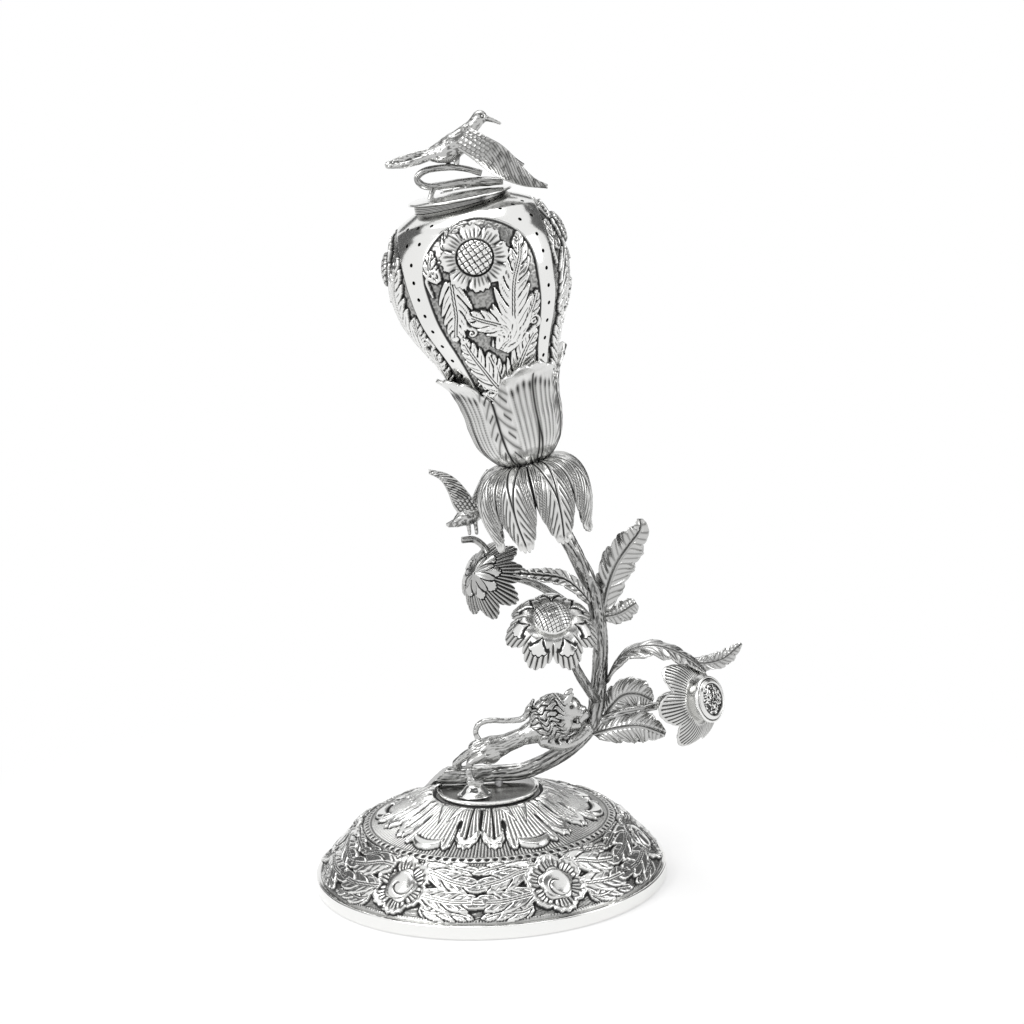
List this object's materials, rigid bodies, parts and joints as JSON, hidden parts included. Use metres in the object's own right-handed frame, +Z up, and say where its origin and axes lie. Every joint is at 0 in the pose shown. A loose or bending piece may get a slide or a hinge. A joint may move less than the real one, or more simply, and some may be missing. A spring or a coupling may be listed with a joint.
{
  "type": "spice box",
  "caption": "Silver spice container: a pierced hollow fruit with a hinged lid on a leafy branch, with a climbing lion, birds and flowers on a domed foot.",
  "frame": {"origin": "under the middle of the whole outline, at the level that the foot stands on", "axes": "+Z up, +X to the right of the front view, towards the flowers, +Y towards the back, where the lid's hinge is"},
  "size_m": [0.1586, 0.128, 0.2769],
  "materials": {
    "silver": "polished, with darkened recesses",
    "darkened_silver": "oxidised in the recesses, rubbed bright on the ridges",
    "steel": "plain"
  },
  "bodies": {
    "stand": {"foot_rim": "silver", "foot_dome": "silver", "foot_plate": "silver", "branch_stud": "steel", "branch_washer": "steel", "branch_nut": "steel", "branch": "darkened_silver", "flower_1_twig": "darkened_silver", "flower_1_bell": "darkened_silver", "flower_2_twig": "darkened_silver", "flower_2_petals": "silver", "flower_2_centre": "silver", "flower_3_twig": "darkened_silver", "flower_3_trumpet": "silver", "flower_3_petals": "silver", "flower_3_button": "silver", "leaf_tall": "darkened_silver", "leaf_small": "darkened_silver", "leaf_arching": "darkened_silver", "leaf_pointed": "darkened_silver", "leaf_low_back": "darkened_silver", "leaf_low_front": "darkened_silver", "leaf_narrow": "darkened_silver", "lion_mound": "silver", "lion": "silver", "small_bird_perch": "darkened_silver", "small_bird": "darkened_silver", "lower_calyx": "silver", "calyx_screw": "steel", "upper_calyx": "silver", "fruit_shell": "silver", "mouth_ring": "silver", "hinge_pin": "steel"},
    "lid": {"lid": "silver", "knob_twig": "darkened_silver", "knob_bird": "silver"}
  },
  "joints": [
    {"name": "lid_hinge", "type": "hinge", "parent": "stand", "child": "lid", "pos_m": [-0.01542, 0.0206, 0.24842], "axis": [-0.9905, 0, -0.1374], "range_deg": [0, 100]}
  ]
}
